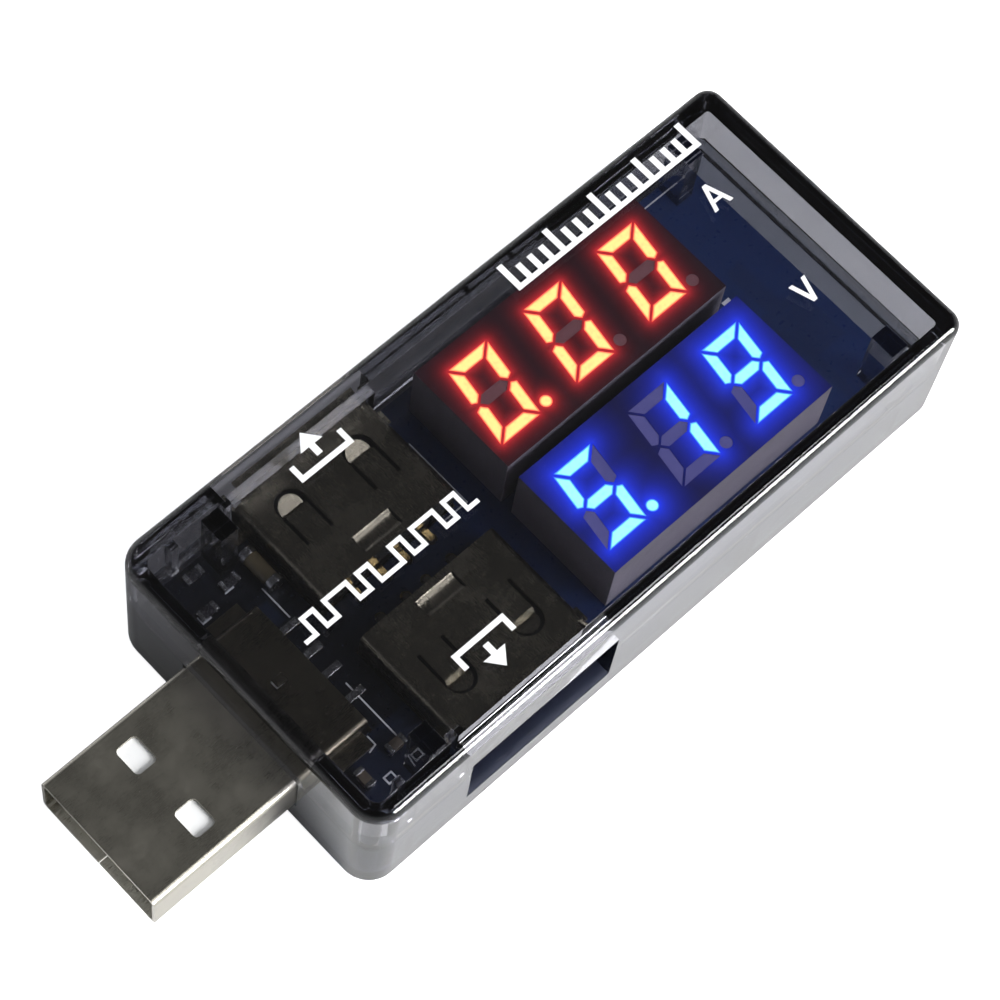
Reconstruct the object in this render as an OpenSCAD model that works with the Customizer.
// USB power meter: a USB-A plug, two USB-A sockets and two three-digit displays in a clear case.
// X runs from the plug's tip to the far end, Y across the body and Z up. The origin is on the
// underside, at the middle of the whole meter with its plug. Left is +Y, right is -Y. Millimetres.

/* [Body] */
// Length of the case along X
body_len = 60; // [58:0.5:70]
// Width of the case along Y
body_w = 27.5; // [27.5:0.5:32]
// Height of the case
body_h = 14; // [13.9:0.1:18]
// Thickness of the side and end walls
wall = 1.6; // [1.4:0.1:1.8]
// Thickness of the floor
floor_t = 1.3; // [1:0.1:1.6]
// Thickness of the roof
roof_t = 1.3; // [1:0.1:1.3]
// Height of the joint between the two shells
seam_z = 7.9; // [7.9:0.1:8.4]
// Radius of the two upright corners at the plug end
corner_r = 2.4; // [1.8:0.1:3]
// Radius of the two upright corners at the far end
far_corner_r = 1.4; // [1.3:0.1:2.4]
// Radius of the rounded top and bottom edges
edge_r = 0.9; // [0.4:0.1:1.1]

/* [Plug] */
// How far the plug stands out of the case
plug_reach = 13.2; // [11.8:0.1:14]
// Length of the plug inside the case
plug_inside = 6.8; // [6:0.1:7]
// Width of the plug's shell
plug_w = 12; // [12:0.05:12.2]
// Height of the plug's shell
plug_h = 4.5; // [4.4:0.05:4.6]
// Thickness of the folded steel sheet of the plug and the sockets
sheet_t = 0.3; // [0.25:0.05:0.35]
// Distance from the plug's tip to the middle of its windows
window_x = 6.25; // [5.5:0.05:6.5]
// Sideways distance from the middle of the plug to each window
window_y = 3.1; // [2.8:0.05:3.3]

/* [Sockets] */
// Middle of the sockets along X, from the plug end of the case
socket_from_end = 16.8; // [16.5:0.1:17]
// Height of the middle of the sockets
socket_z = 6.6; // [6.5:0.05:6.8]
// Sideways offset of both sockets to the left of the case's middle
socket_shift = 0.7; // [0:0.1:0.8]
// Depth of a socket from its mouth to its back
socket_depth = 10.65; // [10.5:0.05:10.7]
// Inner width of a socket's mouth
socket_in_w = 12.5; // [12.4:0.05:12.6]
// Inner height of a socket's mouth
socket_in_h = 5.12; // [5.1:0.02:5.2]
// Width of the case's opening at a socket
opening_w = 14.4; // [14.2:0.1:14.8]
// Height of the case's opening at a socket
opening_h = 6.6; // [6.5:0.1:6.9]

/* [Displays] */
// Length of a display module along X
display_len = 22.5; // [22:0.1:23]
// Width of a display module
display_w = 10; // [9.8:0.1:10.4]
// Height of a display module above the board
display_h = 6.15; // [6:0.05:6.2]
// Middle of the displays along X, from the plug end of the case
display_from_end = 37.45; // [37:0.05:38.5]
// Distance between the middles of the two displays
display_pitch = 11.1; // [10.6:0.1:11.4]
// Distance between the digits of a display
digit_pitch = 7.6; // [7.4:0.05:7.7]
// Height of a digit
digit_h = 7; // [6.8:0.1:7.2]
// Width of a digit
digit_w = 4; // [3.8:0.1:4.2]
// Width of a lit stroke
stroke = 0.95; // [0.8:0.05:1.05]
// Lean of the digits in degrees
lean = 9; // [0:1:10]

/* [Circuit board] */
// Height of the board's upper face
board_top = 6.45; // [6.4:0.05:6.5]
// Thickness of the board
board_t = 1.2; // [1:0.1:1.6]
// Gap between the board's edge and the long walls
board_gap = 0.25; // [0.2:0.05:0.5]
// Gap between the board and the far end wall
board_end_gap = 1.4; // [1:0.1:2]

/* [Hidden] */

// Places along X, worked out from the overall length
tip_x = -(plug_reach + body_len) / 2;
end_x = tip_x + plug_reach;
far_x = end_x + body_len;
plug_back_x = end_x + plug_inside;
socket_x = end_x + socket_from_end;
display_x = end_x + display_from_end;

// Fits and clearances; sink is how far ribs run into a wall, past how far cuts run out of it
fit = 0.1;
touch = 0.05;
thin_gap = 0.01;
sink = 0.2;
past = 1;
least_r = 0.3;
hull_fn = 32;

// Case
side_y = body_w / 2;
ceiling_z = body_h - roof_t;
lip_t = wall * 0.45;
lip_h = 1.1;
snap_len = 5;
snap_out = 0.25;
snap_h = 0.5;
snap_z = seam_z - lip_h + 0.2;
snap_xs = [end_x + 4.5, far_x - 5];
post_r = 1.2;
post_places = [[end_x + 4.2, 9.6], [display_x + 1.3, 11.5], [far_x - 5, 9.6]];
hold_size = [1.6, 2.2];
hold_xs = [end_x + 7.6, far_x - 5.4];
rib_t = 0.7;
rib_xs = [end_x + 4, end_x + 9];
rib_drop = 0.6;
cradle_xs = [end_x + 3.2, end_x + 5.4];
cradle_inset = 1;

// Plug
plug_z = seam_z - plug_h / 2;
plug_y = plug_w / 2;
plug_corner = 0.5;
window_size = [1.9, 2.5];
window_corner = 0.4;
insulator_h = 1.95;
insulator_end = 0.5;
insulator_block = 1;
plug_in_top = plug_z + plug_h / 2 - sheet_t;
lug_size = [1.1, 0.8];
lug_place = [end_x + 3.6, 0.5];
lug_tilt = 22;
lug_t = 0.2;
plug_tab = [3, 1.3];
plug_tab_back = 0.6;

// Contacts of the plug and the sockets, the outer two first
contact_ys = [-3.5, 3.5, -1, 1];
contact_w = 1;
contact_t = 0.2;
contact_len = 2.7;
contact_starts = [1.3, 1.3, 2.3, 2.3];
tail_w = 0.6;
foot_len = 1.9;

// Sockets, as drawn on the left before the offset
socket_out_w = socket_in_w + 2 * sheet_t;
socket_out_h = socket_in_h + 2 * sheet_t;
mouth_y = side_y - wall + 0.5;
socket_back_y = mouth_y - socket_depth;
socket_corner = 0.6;
lip_len = 1.2;
lip_y = mouth_y - lip_len;
lip_rise = 0.3;
lip_cut = 0.75;
tongue_w = 11.1;
tongue_t = 1.84;
tongue_drop = 0.66;
tongue_z = socket_z + socket_in_h / 2 - tongue_drop - tongue_t;
tongue_end_y = lip_y - 0.5;
block_depth = 2.8;
finger_x = 3.3;
finger_w = 2;
finger_y = [socket_back_y + 3.75, socket_back_y + 7.9];
finger_slit = 0.3;
finger_dip = 0.58;
finger_tip_dip = 0.2;
finger_bend = 1.15;
finger_step = 0.35;
groove_w = 3.7;
groove_y = [socket_back_y + 0.6, socket_back_y + 2.1];
groove_slope = 0.4;
groove_dip = 0.3;
groove_slit = 0.12;
tail_room = [4.4, 1.2, 0.7];
tab_size = [1.15, 1.2];
tab_y = lip_y - 0.9;
socket_tail_y = socket_back_y - 0.95;
socket_tail_bottom = 3.9;

// Displays
face_z = board_top + display_h;
base_t = 1;
base_inset = 0.8;
cavity_bottom = board_top + base_t;
segment_recess = 0.04;
segment_gap = 0.14;
point_r = 0.5;
point_gap = 0.85;
digits_shift = -0.3;
pin_pitch = 2.54;
pin_rows = 7.62;
pin_count = 6;
pin_size = [0.5, 0.3];
pin_bottom = 3.5;
pin_head = 0.6;
pin_hole_r = 0.45;

// Board
board_x0 = end_x + wall + 0.2;
board_x1 = far_x - wall - board_end_gap;
board_y = side_y - wall - board_gap;
board_bottom = board_top - board_t;
board_corner = 0.8;
plug_gap = 0.3;

// Small parts: sizes are length, width and height, places are X and Y
chip_stand = 0.1;
lead_t = 0.15;
lead_reach = 0.9;
controller_size = [9.7, 4.4, 1];
controller_leads = [28, 0.65];
amplifier_size = [4.9, 3.9, 1.4];
amplifier_leads = [8, 1.27];
amplifier_x = display_x - 4.5;
regulator_size = [4.5, 2.5, 1.5];
regulator_x = display_x + 6.5;
regulator_pitch = 1.5;
leg_size = [0.4, 1, 0.35];
regulator_tab_w = 1.6;
shunt_size = [5, 2.5, 0.6];
shunt_place = [end_x + 8.85, 8.8];
shunt_cap = 0.8;
diode_place = [end_x + 9.15, 8];
diode_len = 3.5;
diode_r = 0.8;
diode_cap = 0.6;
small_resistor = [1.6, 0.8, 0.5];
small_capacitor = [1.6, 0.8, 0.7];
small_cap = 0.35;
front_capacitor = [end_x + 4, -8.7];
rear_capacitor = [end_x + 7.4, -8.3];
top_resistors = [[end_x + 4.2, 8.2], [end_x + 6.9, 8.9], [end_x + 5.3, 11]];
under_resistors = [[end_x + 7.4, -10.4], [end_x + 7.4, -8.2]];
middle_resistor_xs = [display_x - 3.5, display_x - 2, display_x - 0.5, display_x + 1,
                      display_x + 2.5, display_x + 4, display_x + 5.5];
supply_capacitor = [2, 1.25, 1.2];
filter_capacitor = [2, 1.25, 1];
supply_cap = 0.5;
supply_places = [[display_x + 9.2, -1.4], [display_x + 9.2, 1.4]];
filter_xs = [display_x - 8, display_x - 5, display_x + 7.5];
joint_r = [0.4, 0.7];
joint_h = 0.6;

// ---------- shared shapes ----------

// Flat rectangle with round corners, centred on the origin
module rounded_rect(len, w, r) {
  square([len - 2 * r, w], center = true);
  square([len, w - 2 * r], center = true);
  for (sx = [-1, 1], sy = [-1, 1])
    translate([sx * (len / 2 - r), sy * (w / 2 - r)]) circle(r, $fn = 48);
}

// Outline of the case drawn in by inset, with its two pairs of corner radii
module case_outline(inset) {
  r0 = max(corner_r - inset, least_r);
  r1 = max(far_corner_r - inset, least_r);
  x0 = end_x + inset;
  x1 = far_x - inset;
  w = side_y - inset;
  translate([x0 + r0, -w]) square([x1 - r1 - x0 - r0, 2 * w]);
  translate([x0, -w + r0]) square([x1 - r1 - x0, 2 * (w - r0)]);
  translate([x1 - r1 - fit, -w + r1]) square([r1 + fit, 2 * (w - r1)]);
  for (sy = [-1, 1]) {
    translate([x0 + r0, sy * (w - r0)]) circle(r0, $fn = 48);
    translate([x1 - r1, sy * (w - r1)]) circle(r1, $fn = 48);
  }
}

// Layer of the case that lies inset from its outer walls, from z up to z + h
module layer(inset, z, h) {
  translate([0, 0, z]) linear_extrude(h) case_outline(inset);
}

// Solid half of the case between the seam and end_z, with the outer edge there rounded
module half_block(end_z) {
  side = sign(end_z - seam_z);
  hull()
    for (a = [0:15:90]) {
      inset = edge_r * (1 - sin(a));
      reach = abs(end_z - seam_z) - edge_r * (1 - cos(a));
      translate([0, 0, side > 0 ? seam_z : seam_z - reach])
        linear_extrude(reach)
          for (sy = [-1, 1]) {
            translate([end_x + corner_r, sy * (side_y - corner_r)])
              circle(corner_r - inset, $fn = hull_fn);
            translate([far_x - far_corner_r, sy * (side_y - far_corner_r)])
              circle(far_corner_r - inset, $fn = hull_fn);
          }
    }
}

// Box given by its lowest corner and its highest corner
module span(low, high) {
  translate(low) cube(high - low);
}

// Everything on one side of the meter, repeated on the other side
module both_sides() {
  for (flip = [0, 1]) mirror([0, flip, 0]) children();
}

// Something drawn at the left socket, placed at both sockets with their offset
module at_sockets() {
  translate([0, socket_shift, 0]) both_sides() children();
}

// Openings in the long walls where the sockets look out
module socket_openings() {
  both_sides()
    span([socket_x - opening_w / 2, side_y - wall - past, socket_z - opening_h / 2],
         [socket_x + opening_w / 2, side_y + past, socket_z + opening_h / 2]);
}

// Room for the plug in the end wall
module plug_opening() {
  span([end_x - past, -plug_y - fit, plug_z - plug_h / 2 - fit],
       [end_x + wall + past, plug_y + fit, seam_z + fit]);
}

// Ring just inside the outer wall, as wide as the lip of the top shell
module lip_ring(z, h, grow = 0) {
  difference() {
    layer(wall - lip_t - grow, z, h);
    layer(wall, z - past, h + 2 * past);
  }
}

// Long bump on each long wall near both ends, which snaps the shells together
module snap_bumps(grow = 0) {
  for (x = snap_xs)
    both_sides()
      span([x - snap_len / 2 - grow, side_y - wall + lip_t - sink, snap_z - grow],
           [x + snap_len / 2 + grow, side_y - wall + lip_t + snap_out + grow, snap_z + snap_h + grow]);
}

// ---------- case ----------

module bottom_shell() {
  color([0.32, 0.31, 0.36, 0.6]) {
    difference() {
      half_block(0);
      layer(wall, floor_t, seam_z);
      lip_ring(seam_z - lip_h - fit, lip_h + 1, fit);
      snap_bumps(fit / 2);
      socket_openings();
      plug_opening();
    }
    board_posts();
    plug_cradle();
  }
}

// Posts that carry the board, each pair with a rib out to its wall
module board_posts() {
  for (place = post_places)
    both_sides() {
      translate([place[0], place[1], floor_t - sink])
        cylinder(h = board_bottom - floor_t + sink, r = post_r, $fn = 32);
      span([place[0] - rib_t / 2, place[1], floor_t - sink],
           [place[0] + rib_t / 2, side_y - wall + sink, board_bottom - rib_drop]);
    }
}

// Two low ribs under the plug
module plug_cradle() {
  for (x = cradle_xs)
    span([x - rib_t / 2, -plug_y + cradle_inset, floor_t - sink],
         [x + rib_t / 2, plug_y - cradle_inset, plug_z - plug_h / 2]);
}

module top_shell() {
  color([0.34, 0.33, 0.38, 0.5]) {
    difference() {
      union() {
        difference() {
          half_block(body_h);
          layer(wall, seam_z - past, ceiling_z - seam_z + past);
        }
        lip_ring(seam_z - lip_h, lip_h);
        snap_bumps();
      }
      socket_openings();
      plug_opening();
      both_sides()
        span([socket_x - opening_w / 2 - fit, side_y - wall - past, seam_z - lip_h - past],
             [socket_x + opening_w / 2 + fit, side_y + past, seam_z]);
    }
    hold_downs();
    wall_ribs();
  }
}

// Legs under the roof that keep the board on its posts
module hold_downs() {
  for (x = hold_xs)
    both_sides()
      span([x - hold_size[0] / 2, board_y - hold_size[1], board_top],
           [x + hold_size[0] / 2, board_y, ceiling_z + sink]);
}

// Upright ribs on the long walls by the plug end
module wall_ribs() {
  for (x = rib_xs)
    both_sides()
      span([x - rib_t / 2, side_y - wall - rib_t, seam_z + sink],
           [x + rib_t / 2, side_y - wall + sink, ceiling_z + sink]);
}

// ---------- circuit board ----------

module circuit_board() {
  color([0.05, 0.08, 0.18])
    difference() {
      translate([(board_x0 + board_x1) / 2, 0, board_bottom])
        linear_extrude(board_t)
          rounded_rect(board_x1 - board_x0, 2 * board_y, board_corner);
      span([board_x0 - past, -plug_y - plug_gap, board_bottom - past],
           [plug_back_x + 2 * fit, plug_y + plug_gap, board_top + past]);
      at_sockets() {
        span([socket_x - socket_out_w / 2 - fit, socket_back_y - 1.5 * fit, board_bottom - past],
             [socket_x + socket_out_w / 2 + fit, side_y, board_top + past]);
        span([socket_x - socket_out_w / 2 - lip_rise - 2 * fit, lip_y - 2 * fit, board_bottom - past],
             [socket_x + socket_out_w / 2 + lip_rise + 2 * fit, side_y, board_top + past]);
      }
      display_pin_places() cylinder(h = body_h, r = pin_hole_r, center = true, $fn = 24);
      socket_tail_places() cylinder(h = body_h, r = pin_hole_r, center = true, $fn = 24);
    }
}

// ---------- plug ----------

// Round-cornered block along X, from x0 to x1, centred on y = 0 and on height z
module tube_block(x0, x1, z, w, h, r) {
  translate([x0, 0, z])
    rotate([90, 0, 90]) linear_extrude(x1 - x0) rounded_rect(w, h, r);
}

module plug_shell() {
  color([0.55, 0.54, 0.5]) {
    difference() {
      tube_block(tip_x, plug_back_x, plug_z, plug_w, plug_h, plug_corner);
      tube_block(tip_x - past, plug_back_x + past, plug_z,
                 plug_w - 2 * sheet_t, plug_h - 2 * sheet_t, plug_corner - sheet_t / 2);
      for (sy = [-1, 1])
        translate([tip_x + window_x, sy * window_y, plug_z])
          linear_extrude(plug_h + 2 * past, center = true)
            rounded_rect(window_size[0], window_size[1], window_corner);
      span([lug_place[0], lug_place[1] - lug_size[1] / 2, plug_z],
           [lug_place[0] + lug_size[0], lug_place[1] + lug_size[1] / 2, seam_z + past]);
      span([tip_x - past, -touch, plug_z - plug_h], [plug_back_x + past, touch, plug_z]);
    }
    plug_lug();
    plug_tabs();
  }
}

// Small tongue pushed up out of the shell's top, inside the case
module plug_lug() {
  translate([lug_place[0] + lug_size[0], lug_place[1], seam_z - sheet_t])
    rotate([0, lug_tilt, 0])
      translate([-lug_size[0], touch - lug_size[1] / 2, 0])
        cube([lug_size[0], lug_size[1] - 2 * touch, lug_t]);
}

// Tabs at the back of the shell's sides, folded out onto the board
module plug_tabs() {
  both_sides()
    span([plug_back_x - plug_tab_back - plug_tab[0], plug_y - sheet_t / 2, board_top],
         [plug_back_x - plug_tab_back, plug_y + plug_tab[1], board_top + sheet_t]);
}

// Tongue under the shell's top, and the block that fills the shell inside the case
module plug_insulator() {
  inside = [plug_w - 2 * sheet_t - 2 * touch, plug_h - 2 * sheet_t - 2 * thin_gap];
  color("white")
    difference() {
      intersection() {
        tube_block(tip_x + insulator_end, plug_back_x - 2 * fit, plug_z,
                   inside[0], inside[1], plug_corner - sheet_t / 2);
        union() {
          span([tip_x, -plug_y, plug_in_top - insulator_h], [plug_back_x, plug_y, seam_z]);
          span([end_x + insulator_block, -plug_y, plug_z - plug_h], [plug_back_x, plug_y, seam_z]);
        }
      }
      plug_contact_strips(touch);
    }
}

// The four strips under the tongue and their tails, or the room for them when grown
module plug_contact_strips(grow = 0) {
  z = plug_in_top - insulator_h;
  tail_z = z + contact_t / 2;
  for (i = [0:3]) {
    y = contact_ys[i];
    start = tip_x + contact_starts[i];
    span([start - grow, y - contact_w / 2 - grow, z - 2 * grow],
         [start + contact_len + grow, y + contact_w / 2 + grow, z + contact_t + grow]);
    span([start + contact_len - contact_t, y - tail_w / 2 - grow, tail_z - grow],
         [plug_back_x + contact_t / 2, y + tail_w / 2 + grow, tail_z + contact_t + grow]);
    span([plug_back_x - contact_t / 2, y - tail_w / 2 - grow, tail_z - grow],
         [plug_back_x + contact_t / 2, y + tail_w / 2 + grow, board_top + contact_t + grow]);
    span([plug_back_x - contact_t / 2, y - tail_w / 2 - grow, board_top],
         [plug_back_x + foot_len, y + tail_w / 2 + grow, board_top + contact_t + grow]);
  }
}

module plug_contacts() {
  color([0.9, 0.78, 0.45]) plug_contact_strips();
}

// ---------- sockets: each is drawn on the left side and mirrored for the right ----------

// Round-cornered block along Y at the sockets, from y0 to y1
module socket_block(y0, y1, w, h, r) {
  translate([socket_x, y1, socket_z])
    rotate([90, 0, 0]) linear_extrude(y1 - y0) rounded_rect(w, h, r);
}

module socket_shell() {
  color([0.62, 0.6, 0.56]) {
    difference() {
      socket_block(socket_back_y, lip_y, socket_out_w, socket_out_h, socket_corner);
      socket_block(socket_back_y + sheet_t, lip_y + past, socket_in_w, socket_in_h,
                   socket_corner - sheet_t);
      // room at the back for the contacts' tails
      span([socket_x - tail_room[0], socket_back_y - past, tongue_z - tail_room[1]],
           [socket_x + tail_room[0], socket_back_y + past, tongue_z + tail_room[2]]);
      for (side = [-1, 1]) {
        for (fx = [-finger_x, finger_x]) finger_opening(fx, side);
        groove_opening(side);
      }
    }
    for (side = [-1, 1]) {
      for (fx = [-finger_x, finger_x]) spring_finger(fx, side);
      pressed_groove(side);
      flat_lip(side);
      side_lip(side);
    }
    socket_tabs();
  }
}

// Height of the socket's upper (side 1) or lower (side -1) plate at its middle
function plate_z(side) = socket_z + side * (socket_out_h - sheet_t) / 2;

// Sheet bent along Y, w wide and centred on x: points give Y and the height of its middle
module bent_sheet(x, w, points) {
  upper = [for (p = points) [p[0], p[1] + sheet_t / 2]];
  lower = [for (i = [len(points) - 1:-1:0]) [points[i][0], points[i][1] - sheet_t / 2]];
  translate([x - w / 2, 0, 0])
    rotate([90, 0, 90]) linear_extrude(w) polygon(concat(lower, upper));
}

// Outline of a spring finger from above, grown by slit, with its round tip
module finger_outline(fx, slit) {
  r = finger_w / 2 + slit;
  translate([socket_x + fx - r, finger_y[0] - touch])
    square([2 * r, finger_y[1] - finger_y[0] - finger_w / 2 + touch]);
  translate([socket_x + fx, finger_y[1] - finger_w / 2]) circle(r, $fn = 48);
}

// Opening round a spring finger
module finger_opening(fx, side) {
  translate([0, 0, plate_z(side) - sheet_t])
    linear_extrude(2 * sheet_t)
      intersection() {
        finger_outline(fx, finger_slit);
        translate([socket_x + fx - finger_w, finger_y[0]]) square([2 * finger_w, socket_depth]);
      }
}

// Finger that steps into the mouth near its tip and turns out again
module spring_finger(fx, side) {
  z = plate_z(side);
  low_y = finger_y[1] - finger_bend;
  intersection() {
    bent_sheet(socket_x + fx, finger_w, [
      [finger_y[0] - touch, z], [low_y - finger_step, z - side * touch],
      [low_y, z - side * finger_dip], [finger_y[1], z - side * finger_tip_dip]
    ]);
    translate([0, 0, z - 1]) linear_extrude(2) finger_outline(fx, 0);
  }
}

// Window near the back, and the groove pressed into the sheet there
module groove_opening(side) {
  translate([socket_x - groove_w / 2, groove_y[0], plate_z(side) - sheet_t])
    cube([groove_w, groove_y[1] - groove_y[0], 2 * sheet_t]);
}

module pressed_groove(side) {
  z = plate_z(side);
  bent_sheet(socket_x, groove_w - 2 * groove_slit, [
    [groove_y[0] - touch, z], [groove_y[0] + groove_slope, z - side * groove_dip],
    [groove_y[1] - groove_slope, z - side * groove_dip], [groove_y[1] + touch, z]
  ]);
}

// Lip that spreads from the upper or lower plate at the mouth
module flat_lip(side) {
  z = plate_z(side);
  bent_sheet(socket_x, socket_out_w - 2 * lip_cut,
             [[lip_y - touch, z], [mouth_y, z + side * lip_rise]]);
}

// Lip that spreads from the left or right plate at the mouth
module side_lip(side) {
  x = side * (socket_out_w - sheet_t) / 2;
  translate([socket_x, 0, socket_z])
    linear_extrude(socket_out_h - 2 * lip_cut, center = true)
      polygon([
        [x - sheet_t / 2, lip_y - touch], [x + sheet_t / 2, lip_y - touch],
        [x + sheet_t / 2 + side * lip_rise, mouth_y], [x - sheet_t / 2 + side * lip_rise, mouth_y]
      ]);
}

// Tabs on the shell's sides that are soldered flat on the board
module socket_tabs() {
  for (sx = [-1, 1])
    translate([socket_x + sx * (socket_out_w / 2 + tab_size[0] / 2 - touch),
               tab_y, board_top + sheet_t / 2])
      cube([tab_size[0], tab_size[1], sheet_t], center = true);
}

module socket_tongue() {
  inside = [socket_in_w - 2 * fit, socket_in_h - 2 * fit];
  back = socket_back_y + sheet_t + fit;
  color([0.12, 0.12, 0.13])
    difference() {
      union() {
        socket_block(back, socket_back_y + block_depth, inside[0], inside[1], least_r);
        span([socket_x - tongue_w / 2, back, tongue_z],
             [socket_x + tongue_w / 2, tongue_end_y, tongue_z + tongue_t]);
      }
      for (side = [-1, 1])
        translate([socket_x, (groove_y[0] + groove_y[1]) / 2, plate_z(side)])
          cube([groove_w, groove_y[1] - groove_y[0] + 2 * fit, 2 * groove_dip + sheet_t + 2 * touch],
               center = true);
      socket_contact_strips(touch);
    }
}

// Contacts under the tongue: a flat strip, and a tail out of the back and down through the board
module socket_contact_strips(grow = 0) {
  z = tongue_z;
  strip_y = socket_back_y + block_depth + 2 * fit;
  for (y = contact_ys)
    translate([socket_x + y, 0, 0]) {
      span([-contact_w / 2 - grow, strip_y, z - contact_t - grow],
           [contact_w / 2 + grow, tongue_end_y - tail_w, z + grow]);
      span([-tail_w / 2 - grow, socket_tail_y - contact_t / 2, z - contact_t - grow],
           [tail_w / 2 + grow, strip_y + fit, z + grow]);
    }
}

module socket_contacts() {
  color([0.9, 0.78, 0.45]) {
    socket_contact_strips();
    for (y = contact_ys)
      span([socket_x + y - contact_t, socket_tail_y - contact_t, socket_tail_bottom],
           [socket_x + y + contact_t, socket_tail_y + contact_t, tongue_z]);
  }
}

module socket_tail_places() {
  at_sockets()
    for (y = contact_ys) translate([socket_x + y, socket_tail_y, board_top]) children();
}

// Something drawn at the left socket, placed at the left (flip 0) or right (flip 1) one
module at_socket(flip) {
  translate([0, socket_shift, 0]) mirror([0, flip, 0]) children();
}

module left_socket_shell() { at_socket(0) socket_shell(); }
module right_socket_shell() { at_socket(1) socket_shell(); }
module left_socket_tongue() { at_socket(0) socket_tongue(); }
module right_socket_tongue() { at_socket(1) socket_tongue(); }
module left_socket_contacts() { at_socket(0) socket_contacts(); }
module right_socket_contacts() { at_socket(1) socket_contacts(); }

// ---------- displays: side 1 is the current display, side -1 the voltage display ----------

// Leaning of a point of a digit's outline
function leaned(p) = [p[0] + p[1] * tan(lean), p[1]];

// Outline of a lying stroke, with its middle at height v: its ends are pointed where both_ends
// is true, and otherwise cut so that the stroke narrows away from the digit's edge at v
function lying(v, up) =
  let (w = digit_w / 2 - segment_gap, t = stroke)
    up == 0
      ? [[-w + t / 2, v], [-w + t, v + t / 2], [w - t, v + t / 2],
         [w - t / 2, v], [w - t, v - t / 2], [-w + t, v - t / 2]]
      : [[-w, v], [w, v], [w - t, v - up * t], [-w + t, v - up * t]];

// Outline of a standing stroke on side s (-1 left, 1 right), in the upper (up 1) or lower (-1) half
function standing(s, up) =
  let (w = digit_w / 2, h = digit_h / 2, t = stroke, g = segment_gap)
    [[s * w, up * (h - g)], [s * (w - t), up * (h - g - t)], [s * (w - t), up * (t / 2 + g)],
     [s * (w - t / 2), up * g], [s * w, up * (t / 4 + g)]];

// The seven strokes of a digit, in the usual order a to g
function digit_strokes() = [
  lying(digit_h / 2, 1), standing(1, 1), standing(1, -1), lying(-digit_h / 2, -1),
  standing(-1, -1), standing(-1, 1), lying(0, 0)
];

// All strokes and points of a display, as flat shapes
module digits_flat() {
  for (i = [-1:1])
    translate([i * digit_pitch + digits_shift, 0]) {
      for (outline = digit_strokes()) polygon([for (p = outline) leaned(p)]);
      translate(leaned([digit_w / 2 + point_gap, -digit_h / 2 + point_r])) circle(point_r, $fn = 24);
    }
}

module at_display(side) {
  translate([display_x, side * display_pitch / 2, 0]) children();
}

// Places of a display's pins, measured from its middle
function pin_places() = [
  for (row = [-1, 1], i = [0:pin_count - 1])
    [(i - (pin_count - 1) / 2) * pin_pitch, row * pin_rows / 2]
];

module display_pin_places() {
  for (side = [-1, 1])
    at_display(side)
      for (p = pin_places()) translate([p[0], p[1], board_top]) children();
}

module display_case(side) {
  color([0.16, 0.15, 0.18])
    at_display(side)
      difference() {
        translate([-display_len / 2, -display_w / 2, board_top])
          cube([display_len, display_w, display_h]);
        translate([0, 0, cavity_bottom - fit]) linear_extrude(display_h) digits_flat();
        translate([-display_len / 2 + base_inset, -display_w / 2 + base_inset, board_top - past])
          cube([display_len - 2 * base_inset, display_w - 2 * base_inset, base_t + past]);
      }
}

module display_segments(side, tint) {
  color(tint)
    at_display(side)
      translate([0, 0, cavity_bottom])
        linear_extrude(face_z - segment_recess - cavity_bottom) digits_flat();
}

module display_base(side) {
  color([0.7, 0.68, 0.55])
    at_display(side)
      difference() {
        translate([-display_len / 2 + base_inset, -display_w / 2 + base_inset, board_top])
          cube([display_len - 2 * base_inset, display_w - 2 * base_inset, base_t]);
        for (p = pin_places())
          translate([p[0], p[1], board_top]) pin_block(touch);
      }
}

// One pin about the board's upper face, reaching up into the display's base
module pin_block(grow = 0) {
  span([-pin_size[0] / 2 - grow, -pin_size[1] / 2 - grow, pin_bottom - board_top],
       [pin_size[0] / 2 + grow, pin_size[1] / 2 + grow, pin_head + grow]);
}

module display_pins(side) {
  color([0.8, 0.8, 0.82])
    at_display(side)
      for (p = pin_places()) translate([p[0], p[1], board_top]) pin_block();
}

module current_display_case() { display_case(1); }
module voltage_display_case() { display_case(-1); }
module current_display_segments() { display_segments(1, [1, 0.25, 0.15]); }
module voltage_display_segments() { display_segments(-1, [0.2, 0.6, 1]); }
module current_display_base() { display_base(1); }
module voltage_display_base() { display_base(-1); }
module current_display_pins() { display_pins(1); }
module voltage_display_pins() { display_pins(-1); }

// ---------- parts on the board ----------

// Chip package of a given size, with folded leads along both long sides: leads gives their
// number and pitch. The board is at z = 0 and the package hangs under it
module chip_package(size, leads) {
  lead_w = leads[1] * 0.4;
  row_len = (leads[0] / 2 - 1) * leads[1];
  knee_z = -size[2] / 2 - chip_stand;
  color([0.09, 0.09, 0.1])
    translate([-size[0] / 2, -size[1] / 2, -size[2] - chip_stand]) cube(size);
  color([0.8, 0.8, 0.82])
    for (flip = [0, 1], x = [-row_len / 2:leads[1]:row_len / 2 + touch])
      mirror([0, flip, 0])
        translate([x - lead_w / 2, size[1] / 2, 0]) {
          translate([0, -fit, knee_z]) cube([lead_w, lead_reach / 2 + fit, lead_t]);
          translate([0, (lead_reach - lead_t) / 2, knee_z]) cube([lead_w, lead_t, -knee_z]);
          translate([0, (lead_reach - lead_t) / 2, -lead_t])
            cube([lead_w, (lead_reach + lead_t) / 2, lead_t]);
        }
}

module microcontroller() {
  translate([display_x, -display_pitch / 2, board_bottom])
    chip_package(controller_size, controller_leads);
}

module sense_amplifier() {
  translate([amplifier_x, display_pitch / 2, board_bottom])
    chip_package(amplifier_size, amplifier_leads);
}

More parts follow.
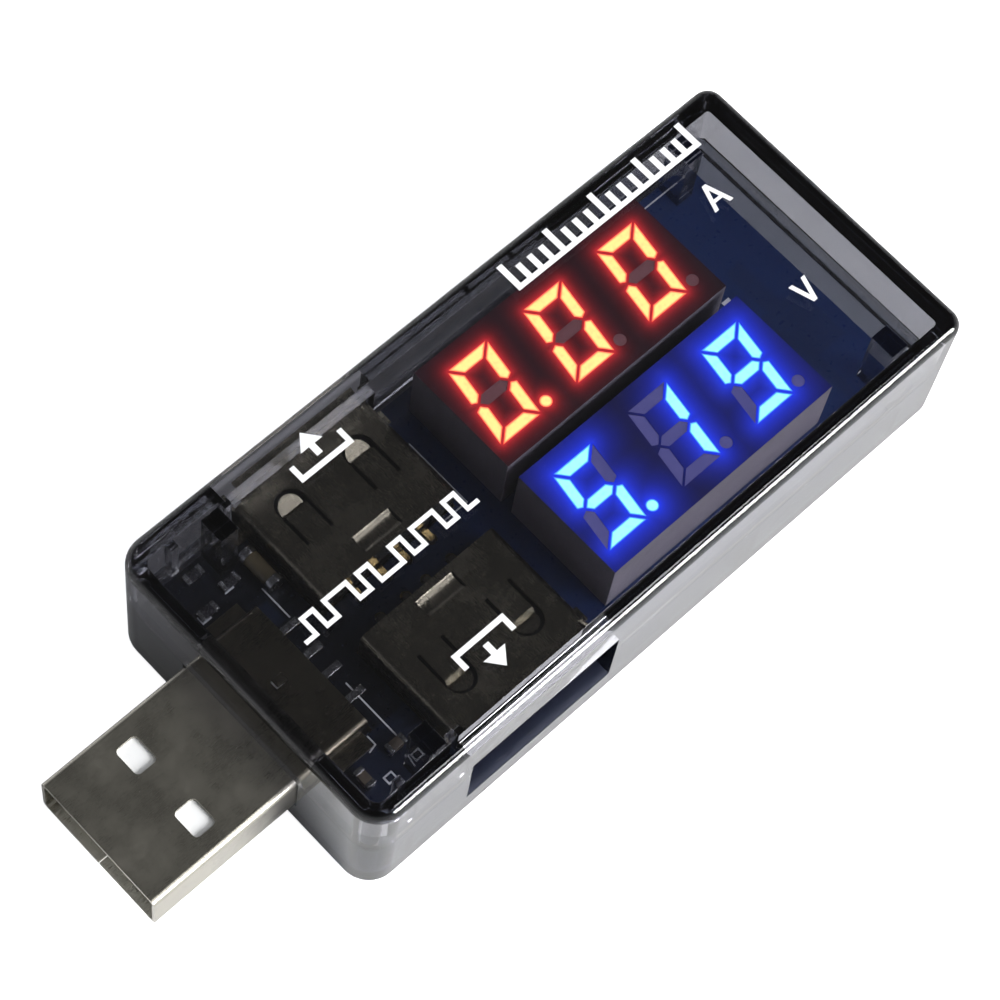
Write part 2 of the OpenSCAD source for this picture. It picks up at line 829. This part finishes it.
// Block with a metal cap at each end along X, standing on z = 0; its middle is a little narrower
module chip_block(size, cap, body_colour) {
  color(body_colour)
    translate([-size[0] / 2 + cap / 2, -size[1] / 2 + touch / 2, touch / 2])
      cube([size[0] - cap, size[1] - touch, size[2] - touch]);
  color([0.82, 0.82, 0.84])
    for (sx = [-1, 1])
      translate([sx * (size[0] - cap) / 2, 0, size[2] / 2])
        cube([cap, size[1], size[2]], center = true);
}

// Something drawn standing on z = 0, hung under the board at a place
module under_board(place, turn = 0) {
  translate([place[0], place[1], board_bottom]) rotate([180, 0, turn]) children();
}

// Something drawn standing on z = 0, put on the board at a place
module on_board(place, turn = 0) {
  translate([place[0], place[1], board_top]) rotate([0, 0, turn]) children();
}

module shunt_resistor() {
  under_board(shunt_place, 90) chip_block(shunt_size, shunt_cap, [0.12, 0.12, 0.13]);
}

// Regulator with three legs on one side and the wide tab on the other
module voltage_regulator() {
  half_w = regulator_size[1] / 2;
  inside = leg_size[1] * 0.2;
  under_board([regulator_x, display_pitch / 2]) {
    color([0.09, 0.09, 0.1])
      translate([-regulator_size[0] / 2, -half_w, chip_stand]) cube(regulator_size);
    color([0.8, 0.8, 0.82]) {
      for (x = [-regulator_pitch, 0, regulator_pitch])
        translate([x - leg_size[0] / 2, -half_w - leg_size[1] + inside, 0]) cube(leg_size);
      translate([-regulator_tab_w / 2, half_w - inside, 0])
        cube([regulator_tab_w, leg_size[1], leg_size[2]]);
    }
  }
}

// Round diode with metal end caps, lying across the board beside the left socket
module protection_diode() {
  on_board(diode_place, 90)
    translate([0, 0, diode_r])
      rotate([0, 90, 0]) {
        color([0.35, 0.3, 0.28])
          cylinder(h = diode_len - diode_cap, r = diode_r - fit, center = true, $fn = 32);
        color([0.8, 0.8, 0.82])
          for (sx = [-1, 1])
            translate([0, 0, sx * (diode_len - diode_cap) / 2])
              cylinder(h = diode_cap, r = diode_r, center = true, $fn = 32);
      }
}

// Chip capacitors: supply and filter capacitors under the board, and two small ones by the plug
module capacitors() {
  tan_body = [0.62, 0.5, 0.36];
  for (place = supply_places) under_board(place, 90) chip_block(supply_capacitor, supply_cap, tan_body);
  for (x = filter_xs) under_board([x, 0]) chip_block(filter_capacitor, supply_cap, tan_body);
  on_board(front_capacitor, 90) chip_block(small_capacitor, small_cap, tan_body);
  on_board(rear_capacitor) chip_block(small_capacitor, small_cap, tan_body);
}

// Chip resistors: by the plug, and under the board
module resistors() {
  dark = [0.08, 0.08, 0.09];
  for (place = top_resistors) on_board(place) chip_block(small_resistor, small_cap, dark);
  for (place = under_resistors) under_board(place) chip_block(small_resistor, small_cap, dark);
  for (x = middle_resistor_xs) under_board([x, 0], 90) chip_block(small_resistor, small_cap, dark);
}

// Cone of solder under the board round a tail of width and depth w, widest at the board
module solder_cone(w) {
  translate([0, 0, board_bottom - joint_h])
    difference() {
      cylinder(h = joint_h, r1 = joint_r[0], r2 = joint_r[1], $fn = 20);
      span([-w[0] / 2 - touch, -w[1] / 2 - touch, -past],
           [w[0] / 2 + touch, w[1] / 2 + touch, joint_h + past]);
    }
}

// Solder round each tail that comes through the board
module solder_joints() {
  color([0.75, 0.76, 0.78]) {
    for (side = [-1, 1])
      at_display(side)
        for (p = pin_places()) translate([p[0], p[1], 0]) solder_cone(pin_size);
    translate([0, 0, -board_top])
      socket_tail_places() solder_cone([2 * contact_t, 2 * contact_t]);
  }
}

bottom_shell();
top_shell();
circuit_board();
plug_shell();
plug_insulator();
plug_contacts();
left_socket_shell();
right_socket_shell();
left_socket_tongue();
right_socket_tongue();
left_socket_contacts();
right_socket_contacts();
current_display_case();
voltage_display_case();
current_display_segments();
voltage_display_segments();
current_display_base();
voltage_display_base();
current_display_pins();
voltage_display_pins();
microcontroller();
sense_amplifier();
shunt_resistor();
voltage_regulator();
protection_diode();
capacitors();
resistors();
solder_joints();
